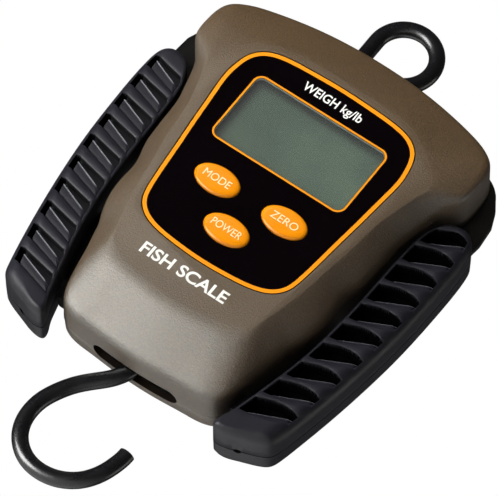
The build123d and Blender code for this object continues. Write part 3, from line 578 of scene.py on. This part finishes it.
def lcd_material():
    """Grey-green display with painted shade where the window frame shades it and a wide painted
    shade fading in from the left.
    """
    mat, tree, bsdf, coord, _ = new_material("lcd_glass")
    soft = noise(tree, coord, scale=75, detail=3, rough=0.55)
    fine = noise(tree, coord, scale=700, detail=5, rough=0.6)
    tone = ramp(tree, soft, [(0.3, rgb(56, 77, 64)), (0.5, rgb(65, 86, 71)),
                             (0.75, rgb(76, 95, 77))])
    specks = ramp(tree, fine, [(0.35, (0.94, 0.96, 0.96, 1)), (0.65, (1.04, 1.04, 1.02, 1))])
    shade = multiply(tree, tone, specks)
    axes = tree.nodes.new("ShaderNodeSeparateXYZ")
    tree.links.new(coord.outputs["Object"], axes.inputs[0])
    # painted shade, by world axis, where it starts and ends (m) and the brightness at its start:
    # the left edge, the upper edge, and a wide fade from the left
    for axis, start, end, dark in ((0, -0.0235, -0.0200, 0.45), (2, -0.0472, -0.0502, 0.45),
                                   (0, -0.0235, 0.0100, 0.72)):
        fade = tree.nodes.new("ShaderNodeMapRange")
        fade.interpolation_type = "SMOOTHSTEP"
        fade.inputs["From Min"].default_value = start
        fade.inputs["From Max"].default_value = end
        fade.inputs["To Min"].default_value = dark
        fade.inputs["To Max"].default_value = 1.0
        tree.links.new(axes.outputs[axis], fade.inputs["Value"])
        shade = multiply(tree, shade, fade.outputs["Result"])
    tree.links.new(shade, bsdf.inputs["Base Color"])
    bsdf.inputs["Roughness"].default_value = 0.35
    bsdf.inputs["Specular IOR Level"].default_value = 0.4
    tree.links.new(bumped(tree, fine, strength=0.06, distance=0.00002), bsdf.inputs["Normal"])
    return mat


def window_material():
    """Clear sheet: transparent face on, glossy at grazing angles."""
    mat, tree, bsdf, coord, out = new_material("clear_window")
    fine = noise(tree, coord, scale=400, detail=4, rough=0.6)
    bsdf.inputs["Base Color"].default_value = (0.9, 0.95, 0.92, 1)
    roughness = ramp(tree, fine, [(0.3, grey(0.08)), (0.7, grey(0.16))])
    tree.links.new(roughness, bsdf.inputs["Roughness"])
    tree.links.new(bumped(tree, fine, strength=0.03, distance=0.00002), bsdf.inputs["Normal"])
    clear = tree.nodes.new("ShaderNodeBsdfTransparent")
    clear.inputs[0].default_value = (0.97, 0.985, 0.975, 1)
    mix = tree.nodes.new("ShaderNodeMixShader")
    weight = tree.nodes.new("ShaderNodeLayerWeight")
    weight.inputs[0].default_value = 0.25
    gloss = ramp(tree, weight.outputs["Fresnel"], [(0.0, grey(0.02)), (1.0, grey(0.5))])
    tree.links.new(gloss, mix.inputs[0])
    tree.links.new(clear.outputs[0], mix.inputs[1])
    tree.links.new(bsdf.outputs[0], mix.inputs[2])
    tree.links.new(mix.outputs[0], out.inputs[0])
    return mat


LCD = lcd_material()
WINDOW = window_material()


def paint(ob, material):
    ob.data.materials.clear()
    ob.data.materials.append(material)


def register(ob, body, replaces=None):
    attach(ob, body)
    if replaces:
        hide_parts(replaces)


def dress(ob, material, body, replaces=None):
    paint(ob, material)
    register(ob, body, replaces)


# ------------------------------------------------------------------ case
rim, rim_knots = closed_spline(mirrored(RIM), CASE_POINTS)
top, _ = closed_spline(mirrored(TOP), CASE_POINTS, rim_knots)
lift_rows = [(z, 0) for z in LIFT + LIFT[1:-1][::-1]]
lift = closed_spline(lift_rows, CASE_POINTS, rim_knots)[0][:, 0]
slope = np.interp(np.linspace(0, rim_knots[-1], CASE_POINTS, endpoint=False), rim_knots,
                  SLOPE + SLOPE[1:-1][::-1] + [0])
panel, _ = closed_spline(mirrored(PANEL), 300)
panel_in = inward(panel)


def case_loops(profile, inset=0.0):
    loops = []
    for z, share in profile:
        p = rim + (top - rim) * share
        loops.append(at_z(p + inward(p) * inset, z))
    return loops


def front_loops():
    """Front case: the profile changes towards the foot and the shoulder follows LIFT."""
    levels = np.concatenate([[0.0, 0.35], np.linspace(2, 8, 5), np.linspace(8.5, 19.6, 40),
                             [19.75, 19.88, 19.96, 20.0]])
    loops = []
    for z, side, foot in zip(levels, monotone(SIDE_PROFILE, levels),
                             monotone(FOOT_PROFILE, levels)):
        p = rim + (top - rim) * (side + (foot - side) * slope)[:, None]
        if z == 0.0:
            p = p + inward(p) * RIM_TUCK
        if z > SHOULDER_Z:
            lifted = lift + (FACE_Z - lift) * (z - SHOULDER_Z) / (FACE_Z - SHOULDER_Z)
        else:
            lifted = z * lift / SHOULDER_Z
        loops.append(at_z(p, lifted))
    return loops


def slot_cutter(name, x, y0, y1, length, height):
    """Rod along y with a round-ended section, length across x and height across z."""
    r = height / 2
    a = np.radians(np.concatenate([np.linspace(-90, 90, 20), np.linspace(90, 270, 20)]))
    reach = np.repeat([length / 2 - r, -(length / 2 - r)], 20)
    return rod_along_y(name, x + reach + r * np.cos(a), r * np.sin(a), y0, y1)


def joint_cutters():
    """Openings shared by both halves: hook slot, eye slot and the two rest pads."""
    cutters = [slot_cutter("hook_slot", 0, -94, -66, 30, 6.6),
               slot_cutter("eye_slot", 0.4, 33, 51, 28, 6.0)]
    for s in (1, -1):
        cutters.append(box("pad_cut", s * 28.0, s * 34.0, -75, -69, -3, 3))
    return cutters


def build_front_case():
    front = rings("front_case", front_loops())
    cutters = [rings("front_hollow", case_loops(FRONT_HOLLOW, WALL)),
               prism("panel_seat", panel - panel_in * 0.28, 18.85, 25),
               prism("window_cut", rounded_rect(WINDOW_W + 3, WINDOW_H + 3, 2, 0, WINDOW_Y),
                     5, 30)]
    for x, y, _, _ in BUTTONS.values():
        hole = ellipse(x, y, BUTTON_A + BUTTON_GAP, BUTTON_B + BUTTON_GAP)
        cutters.append(prism("button_cut", hole, 10, 30))
    cut(front, cutters + joint_cutters())
    sharp(front, 42)
    dress(front, OLIVE, "scale", "front_shell")
    return front


def build_rear_case():
    rear = rings("rear_case", case_loops(REAR_PROFILE))
    cutters = [rings("rear_hollow", case_loops(REAR_HOLLOW, WALL))] + joint_cutters()
    cutters.append(prism("door_seat", rounded_rect(55.3, 58.3, 3.1, 0, -30), -20, -7.25))
    for s in (1, -1):
        cutters += [box("bay", s * 14.8, s * 26.4, -57.4, -6.3, -12, 1),
                    # room for the arm: round the pivot, out to the side and at the upper corner
                    prism("arm_round", ellipse(s * PIVOT_X, PIVOT_Y, 13.1, 13.1), -2.4, 0.5),
                    box("arm_side", s * PIVOT_X, s * 62, 6.5, 39.5, -2.4, 0.6),
                    box("arm_top", s * (PIVOT_X - 4.5), s * 61.9, 31.5, 39.4, -2.39, 0.55)]
    for x, y in SCREW_HOLES:
        for s in (1, -1):
            cutters.append(prism("screw_hole", ellipse(s * x, y, 2.9, 2.9, 40), -20, -6.4))
    for i in range(4):
        groove = rounded_rect(32, 1.2, 0.55, 0, 8.6 + i * 4.2, corner_points=6)
        cutters.append(prism("groove", groove, -9.5, -8.5))
    cut(rear, cutters)
    sharp(rear, 42)
    dress(rear, OLIVE, "scale", "rear_shell")
    return rear


def darken_hook_slot(shells):
    dark = surface("slot_shadow", rgb(30, 22, 14), rough=0.8, tone=0.1, rough_var=0.05,
                   blotch=90, grain=1800, spec=0.05)
    for ob in shells:
        ob.data.materials.append(dark)
        for face in ob.data.polygons:
            c = face.center * 1000.0    # world axes, mm
            if (abs(c.x) < 15.1 and abs(c.y) < 3.7 and -141.5 < c.z < -122.0
                    and abs(face.normal.z) < 0.4):
                face.material_index = len(ob.data.materials) - 1


darken_hook_slot([build_front_case(), build_rear_case()])


# ------------------------------------------------------------------ prints and buttons
def window_outline(margin, round_more):
    return rounded_rect(WINDOW_W + margin, WINDOW_H + margin, WINDOW_R + round_more, 0, WINDOW_Y)


def lettering(name, text, x, y, z, size, width, body, material, spacing=1.0, weight=0.0):
    """Raised text centred on (x, y) and stretched to the width; weight thickens the strokes."""
    curve = bpy.data.curves.new(name, "FONT")
    curve.body = text
    curve.size = size
    curve.align_x, curve.align_y = "CENTER", "CENTER"
    curve.space_character = spacing
    curve.extrude = 0.02
    curve.offset = weight
    temp = bpy.data.objects.new(name + "_t", curve)
    objects.link(temp)
    bpy.context.view_layer.update()
    graph = bpy.context.evaluated_depsgraph_get()
    mesh = bpy.data.meshes.new_from_object(temp.evaluated_get(graph))
    bpy.data.objects.remove(temp)
    bpy.data.curves.remove(curve)
    co = np.array([v.co for v in mesh.vertices], float).reshape(-1, 3)
    low, high = co.min(0), co.max(0)
    stretch = width / (high[0] - low[0])
    co = (co - (low + high) / 2) * np.array([stretch, 1, 1]) + np.array([x, y, z])
    mesh.vertices.foreach_set("co", to_world(co).astype(np.float32).ravel())
    mesh.update()
    ob = bpy.data.objects.new(name, mesh)
    objects.link(ob)
    dress(ob, material, body)


def build_prints():
    dress(band("panel_border", panel + panel_in * 0.08, panel + panel_in * 1.32),
          PRINT_ORANGE, "scale")
    dress(band("window_border", window_outline(1.35, .68), window_outline(.15, .07)),
          PRINT_ORANGE, "scale")
    lettering("unit_marks", "WEIGH kg/lb", x=-0.2, y=16.3, z=19.96, size=4.2, width=20.6,
              body="scale", material=PRINT_WHITE, spacing=1.02, weight=0.06)
    lettering("case_words", "FISH SCALE", x=-1.5, y=-54.6, z=20.0, size=5.4, width=30.0,
              body="scale", material=PRINT_WHITE, weight=0.12)


def build_button(name, x, y, word, word_width):
    loops = [at_z(ellipse(x, y, BUTTON_A - inset, max(BUTTON_B - inset, 0.05), 112), z)
             for inset, z in BUTTON_PROFILE]
    body = name + "_key"
    dress(rings(name + "_cap", loops), BUTTON_ORANGE, body, name + "_button")
    lettering(name + "_word", word, x, y + .15, z=20.84, size=3.6, width=word_width,
              body=body, material=PRINT_CREAM)


def build_eye():
    """Straight leg on the left, then an open ring clockwise."""
    a = np.radians(np.linspace(180, -88, 150))
    arc = np.stack([EYE_X + EYE_R * np.cos(a), EYE_Y + EYE_R * np.sin(a)], 1)
    leg = np.stack([np.full(60, EYE_X - EYE_R),
                    np.linspace(EYE_LEG_Y, EYE_Y, 60, endpoint=False)], 1)
    dress(tube("eye_wire", np.concatenate([leg, arc]), WIRE_R), WIRE, "scale", "hanging_eye")


build_prints()
for button, row in BUTTONS.items():
    build_button(button, *row)
build_eye()

# ------------------------------------------------------------------ grips
grip, grip_knots = closed_spline(GRIP, GRIP_POINTS)
grip_edge = closed_spline(GRIP_EDGE, GRIP_POINTS, grip_knots)[0]

# The grips are handed: the slot above the lip is narrow on the left one and wide on the right.
#   inset         distance of the pockets from RIB_INNER and RIB_OUTER
#   top, lip, bottom  rows (share of the way outwards, height from the pocket's y)
#   slot          depth above the lip
#   shelf         depth below the lip: at the bottom edge, and what is added up to the lip
#   notch         share range where the deep notch at the outer end sets in
#   crown         drop and reach of the rounding between pockets
#   lip_highlight_from  least lip strength that takes the lip material, a painted highlight
# slot material  painted shade in the slots: dark grey on the left grip, near-black on the right
POCKET_SHAPE = {
    "left": dict(inset=(0.95, 1.75),
                 top=[(0, -3.3), (.05, -2.15), (.6, -0.75), (.9, 0.1), (1.0, 0.2)],
                 lip=[(0, -5.5), (.86, -1.3), (1.0, -0.6)],
                 bottom=[(0, -8.2), (.84, -4.9), (.88, -4.5), (1.0, -4.1)],
                 slot=2.6, shelf=(0.95, -0.1), notch=(0.845, 0.87), crown=(0.7, 1.0),
                 lip_highlight_from=0.22, slot_shade_material=GRIP_SLOT_SHADE),
    "right": dict(inset=(1.15, 2.05),
                  top=[(0, 0), (.18, 1.0), (.38, 2.0), (.6, 2.5), (.86, 2.4), (1.0, 2.0)],
                  lip=[(0, -5.8), (.03, -5.7), (1.0, 0.75)],
                  bottom=[(0, -5.8), (.03, -5.8), (.24, -5.5), (.63, -3.9), (1.0, -1.4)],
                  slot=6.0, shelf=(0.25, 1.5), notch=None, crown=(0.5, 0.9),
                  lip_highlight_from=0.45, slot_shade_material=GRIP_POCKET_SHADE)}
NOTCH_DEPTH = 6.0


def grip_surface(shape):
    """Loops from the outline to the middle line, their heights, and the slot, notch and lip
    strengths at each point; these pick the faces of painted shade and painted highlight."""
    line = open_spline(GRIP_MIDDLE, 500)
    gaps = np.linalg.norm(grip[:, None, :] - line[None, :, :], axis=2)
    middle = line[gaps.argmin(1)]
    share = np.concatenate([np.linspace(0, 1, 14)[:-1] ** 1.6 * 0.12, np.linspace(0.12, 1, 86)])
    points = grip[None, :, :] + share[:, None, None] * (middle - grip)[None, :, :]
    x, y = points[..., 0], points[..., 1]
    from_edge = np.linalg.norm(points - grip[None], axis=2)
    t = np.clip(from_edge / grip_edge[None, :, 0], 0, 1)
    z = GRIP_Z - grip_edge[None, :, 1] * (1 - np.sqrt(np.clip(1 - (1 - t) ** 2, 0, 1)))

    start = lookup(RIB_INNER, y) + shape["inset"][0]
    end = lookup(RIB_OUTER, y) - shape["inset"][1]
    u = (x - start) / (end - start)
    high, lip, low = (lookup(shape[key], u) for key in ("top", "lip", "bottom"))
    notch = smoothstep(*shape["notch"], u) if shape["notch"] else np.zeros_like(u)
    slot, (shelf, shelf_add) = shape["slot"], shape["shelf"]
    past_side = np.maximum(start - x, x - end)
    slots, notch_shades, lips = np.zeros_like(x), np.zeros_like(x), np.zeros_like(x)
    near = np.full_like(x, 9.0)
    for pocket_y in POCKETS:
        v = y - pocket_y
        outside = np.maximum(np.maximum((v - high) * 0.92, (low - v) * 0.92), past_side)
        inside = smoothstep(0.16, -0.30, outside)
        shallow = shelf + shelf_add * np.clip((v - low) / np.maximum(lip - low, 0.05), 0, 1)
        deep = smoothstep(-0.12, 0.22, v - lip)
        z = z - inside * (shallow + (slot - shallow) * deep)
        z = z - inside * notch * (NOTCH_DEPTH - shallow - (slot - shallow) * deep)
        ridge = np.exp(-((v - lip + 0.28) / 0.2) ** 2) * smoothstep(0.05, 0.25, u) * (1 - notch)
        z = z + inside * 0.3 * ridge
        slots = np.maximum(slots, inside * np.maximum(deep, notch))
        notch_shades = np.maximum(notch_shades, inside * notch)
        lips = np.maximum(lips, inside * ridge)
        near = np.minimum(near, np.abs(outside))
    # the ribs are slightly crowned between the pockets
    drop, reach = shape["crown"]
    z = z - drop * np.exp(-near / reach) * (1 - np.clip(slots * 3, 0, 1))
    return points, z, slots, notch_shades, lips


def build_grip(side):
    sign = 1 if side == "right" else -1
    shape = POCKET_SHAPE[side]
    points, z, *strengths = grip_surface(shape)
    loops = [at_z(grip + inward(grip) * 0.35, 0.0), at_z(grip, 0.4), at_z(grip, z[0] * 0.5)]
    skirt = np.zeros(len(loops) * GRIP_POINTS)
    loops += [at_z(p, height) for p, height in zip(points, z)]
    ob = rings(side + "_grip_face", [p * np.array([sign, 1, 1]) for p in loops], cap_high=False)
    for material in (GRIP_BLACK, shape["slot_shade_material"], GRIP_POCKET_SHADE, GRIP_LIP_HIGHLIGHT):
        ob.data.materials.append(material)
    slots, notch_shades, lips = (np.concatenate([skirt, s.ravel()]) for s in strengths)
    with edited(ob.data) as bm:
        # painted highlight on the lip faces, near-black painted shade in the notches, darker
        # painted shade in the slots
        for face in bm.faces:
            corners = [v.index for v in face.verts]
            if min(lips[k] for k in corners) > shape["lip_highlight_from"]:
                face.material_index = 3
            elif min(notch_shades[k] for k in corners) > 0.03:
                face.material_index = 2
            elif min(slots[k] for k in corners) > 0.03:
                face.material_index = 1
        # the loops meet on the middle line
        bmesh.ops.remove_doubles(bm, verts=bm.verts, dist=0.00005)
        bmesh.ops.recalc_face_normals(bm, faces=bm.faces)
    a = np.linspace(0, 2 * math.pi, 28, endpoint=False)
    cut(ob, [rod_along_y("dimple", sign * 38.6 + 1.4 * np.cos(a), 1.1 * np.sin(a), -92, -82.6)])
    sharp(ob, 55)
    register(ob, side + "_handle", side + "_grip_front")


for side in ("right", "left"):
    build_grip(side)

# ------------------------------------------------------------------ CAD pieces shown as they are
# node: (material, bevel width in mm or 0)
FINISH = {
    "battery_door": (OLIVE, .25), "faceplate": (PANEL_BLACK, 0), "display_window": (WINDOW, 0),
    "display_glass": (LCD, 0), "display_holder": (HOLDER, .2), "contact_strips": (CONTACT, .1),
    "main_board": (BOARD, .1), "controller_chip": (CHIP, .15), "board_components": (BRASS, .1),
    "board_screws": (ZINC, .12), "key_switches": (CHIP, .15), "chassis_bar": (ZINC, .2),
    "eye_clamp": (ZINC, .2), "clamp_screws": (ZINC, .12), "load_cell": (ALUMINIUM, .25),
    "strain_gauges": (FOIL, 0), "cell_screws": (ZINC, .12), "hook_plates": (ZINC, .2),
    "plate_screws": (ZINC, .12), "hook_pin": (ZINC, .15), "pin_clip": (ZINC, .05),
    "right_pivot_pin": (ZINC, .2), "left_pivot_pin": (ZINC, .2),
    "right_pivot_spacer": (BRASS, .15), "left_pivot_spacer": (BRASS, .15),
    "rest_pads": (RUBBER, .35), "batteries": (CELL, .1), "battery_contacts": (ZINC, .05),
    "battery_spring": (ZINC, 0), "case_screws": (ZINC, .12), "cell_wires": (LEAD, 0),
    "hook": (WIRE, 0), "unit_plunger": (CHIP, .1), "tare_plunger": (CHIP, .1),
    "power_plunger": (CHIP, .1)}
for side in ("left", "right"):
    FINISH.update({side + "_arm": (STEEL, .22), side + "_grip_rear": (GRIP_BLACK, .5),
                   side + "_grip_screws": (ZINC, .12)})
for node, (material, edge) in FINISH.items():
    paint(NODES[node], material)
    if edge:
        bevel(NODES[node], edge)

# ------------------------------------------------------------------ camera
CAMERA_AXES = (Vector((0.80798988, 0.0, 0.58919636)),               # right
               Vector((-0.51281041, -0.49242356, 0.70323860)),      # up
               Vector((0.29013417, -0.87035570, -0.39787326)))      # back, towards the camera
CAMERA_AT = Vector((0.43888763, -1.31044592, -0.68612622))

camera_data = bpy.data.cameras.new("camera")
camera = bpy.data.objects.new("camera", camera_data)
objects.link(camera)
camera.matrix_world = (Matrix.Translation(CAMERA_AT)
                       @ Matrix(CAMERA_AXES).transposed().to_4x4())
camera_data.sensor_width = 36.0
camera_data.lens = 373.0120482
camera_data.clip_start, camera_data.clip_end = 0.05, 50
scene.camera = camera

# ------------------------------------------------------------------ lamps
LAMP_TARGET = Vector((0, -0.005, -0.085))
WORLD_AXES = (Vector((1, 0, 0)), Vector((0, 1, 0)), Vector((0, 0, 1)))
# name, axes of the direction, direction from the target, distance (m), size (m), watts,
# colour, the only kind of light it gives ("" for both)
# The keys give the sheen; the sky and the fills light the colour without reflections.
LAMPS = [
    ("key", CAMERA_AXES, (-0.82, 0.02, 0.57), 1.2, (0.9, 1.2), 48.0, (1.0, 1.0, 0.99), "glossy"),
    ("grip_key", CAMERA_AXES, (-0.82, 0.02, 0.57), 1.2, (0.9, 1.2), 21.0, (1.0, 1.0, 0.99),
     "glossy"),
    ("sky", WORLD_AXES, (-0.62, -0.70, 0.36), 1.2, (0.8, 0.8), 21.0, (1.0, 0.985, 0.96),
     "diffuse"),
    ("fill_low", WORLD_AXES, (-0.32, -0.50, -0.80), 1.2, (0.8, 0.4), 46.0, (1.0, 0.99, 0.97),
     "diffuse"),
    ("fill_top", CAMERA_AXES, (0.15, 1.0, 0.1), 1.3, (1.0, 0.5), 2.0, (1.0, 0.97, 0.93),
     "diffuse"),
    ("fill_right", CAMERA_AXES, (0.867, -0.64, -0.098), 1.4, (0.5, 0.9), 1.8, (1.0, 0.98, 0.95),
     ""),
    ("back_fill", WORLD_AXES, (-0.7, 0.7, 0.2), 1.6, (1.0, 1.0), 14.0, (1, 1, 1), "diffuse"),
    ("back_top", WORLD_AXES, (0.35, 0.9, 0.3), 1.6, (1.0, 1.0), 10.0, (1, 1, 1), "diffuse"),
    ("back_wide", WORLD_AXES, (0.0, 1.0, 0.1), 1.6, (1.0, 1.0), 12.0, (1, 1, 1), "diffuse")]


def softbox(name, axes, direction, distance, size, watts, colour, only):
    d = Vector(direction).normalized()
    away = axes[0] * d.x + axes[1] * d.y + axes[2] * d.z
    lamp = bpy.data.lights.new(name, "AREA")
    lamp.shape = "RECTANGLE"
    lamp.size, lamp.size_y = size
    lamp.energy = watts
    lamp.color = colour
    ob = bpy.data.objects.new(name, lamp)
    ob.location = LAMP_TARGET + away * distance
    ob.rotation_mode = "QUATERNION"
    ob.rotation_quaternion = (-away).to_track_quat("-Z", "Y")
    objects.link(ob)
    ob.visible_camera = False
    ob.visible_diffuse = only != "glossy"
    ob.visible_glossy = only != "diffuse"
    return ob


def link_light(lamp, members, state):
    group = bpy.data.collections.new(lamp.name + "_group")
    for ob in members:
        group.objects.link(ob)
    lamp.light_linking.receiver_collection = group
    for entry in group.collection_objects:
        entry.light_linking.link_state = state


lamps = {row[0]: softbox(*row) for row in LAMPS}
# the key leaves the faceplate and display alone; the grips and buttons have a dimmer key
dim = [bpy.data.objects[side + "_grip_face"] for side in ("left", "right")]
dim += [NODES[side + "_grip_rear"] for side in ("left", "right")]
dim += [bpy.data.objects[button + part] for button in BUTTONS for part in ("_cap", "_word")]
flat = [NODES[name] for name in ("faceplate", "display_window", "display_glass")]
flat += [bpy.data.objects[name] for name in ("panel_border", "window_border", "unit_marks")]
link_light(lamps["key"], dim + flat, "EXCLUDE")
link_light(lamps["grip_key"], dim, "INCLUDE")


# ------------------------------------------------------------------ world and floor
def build_world():
    """White to the camera, a faint warm light to everything else."""
    world = bpy.data.worlds.new("studio")
    scene.world = world
    world.use_nodes = True
    tree = world.node_tree
    tree.nodes.clear()
    out = tree.nodes.new("ShaderNodeOutputWorld")
    seen = tree.nodes.new("ShaderNodeBackground")
    lit = tree.nodes.new("ShaderNodeBackground")
    for node, colour, strength in ((seen, (1, 1, 1, 1), 1.0), (lit, (1.0, 0.985, 0.965, 1), 0.045)):
        node.inputs[0].default_value = colour
        node.inputs[1].default_value = strength
    path = tree.nodes.new("ShaderNodeLightPath")
    mix = tree.nodes.new("ShaderNodeMixShader")
    tree.links.new(path.outputs["Is Camera Ray"], mix.inputs[0])
    tree.links.new(lit.outputs[0], mix.inputs[1])
    tree.links.new(seen.outputs[0], mix.inputs[2])
    tree.links.new(mix.outputs[0], out.inputs[0])


def floor_material():
    """Pale floor that glows to the camera only, as the lamps point at the scale."""
    mat, tree, bsdf, coord, _ = new_material("pale_floor")
    cloud = noise(tree, coord, scale=3.0, detail=4, rough=0.6)
    tone = ramp(tree, cloud, [(0.3, (0.86, 0.86, 0.855, 1)), (0.7, (0.90, 0.90, 0.895, 1))])
    tree.links.new(tone, bsdf.inputs["Base Color"])
    bsdf.inputs["Roughness"].default_value = 0.8
    path = tree.nodes.new("ShaderNodeLightPath")
    glow = tree.nodes.new("ShaderNodeMath")
    glow.operation = "MULTIPLY"
    glow.inputs[1].default_value = 0.72
    tree.links.new(path.outputs["Is Camera Ray"], glow.inputs[0])
    tree.links.new(tone, bsdf.inputs["Emission Color"])
    tree.links.new(glow.outputs[0], bsdf.inputs["Emission Strength"])
    return mat


def build_floor(half=4.0, z=-0.95):
    material = floor_material()
    mesh = bpy.data.meshes.new("floor")
    corners = [(-half, -half, z), (half, -half, z), (half, half, z), (-half, half, z)]
    mesh.from_pydata(corners, [], [(0, 1, 2, 3)])
    floor = bpy.data.objects.new("floor", mesh)
    mesh.materials.append(material)
    objects.link(floor)


build_world()
build_floor()

scene.view_settings.view_transform = "Standard"
scene.view_settings.look = "None"
scene.view_settings.exposure = 0.0
scene.view_settings.gamma = 1.0

bpy.context.view_layer.update()
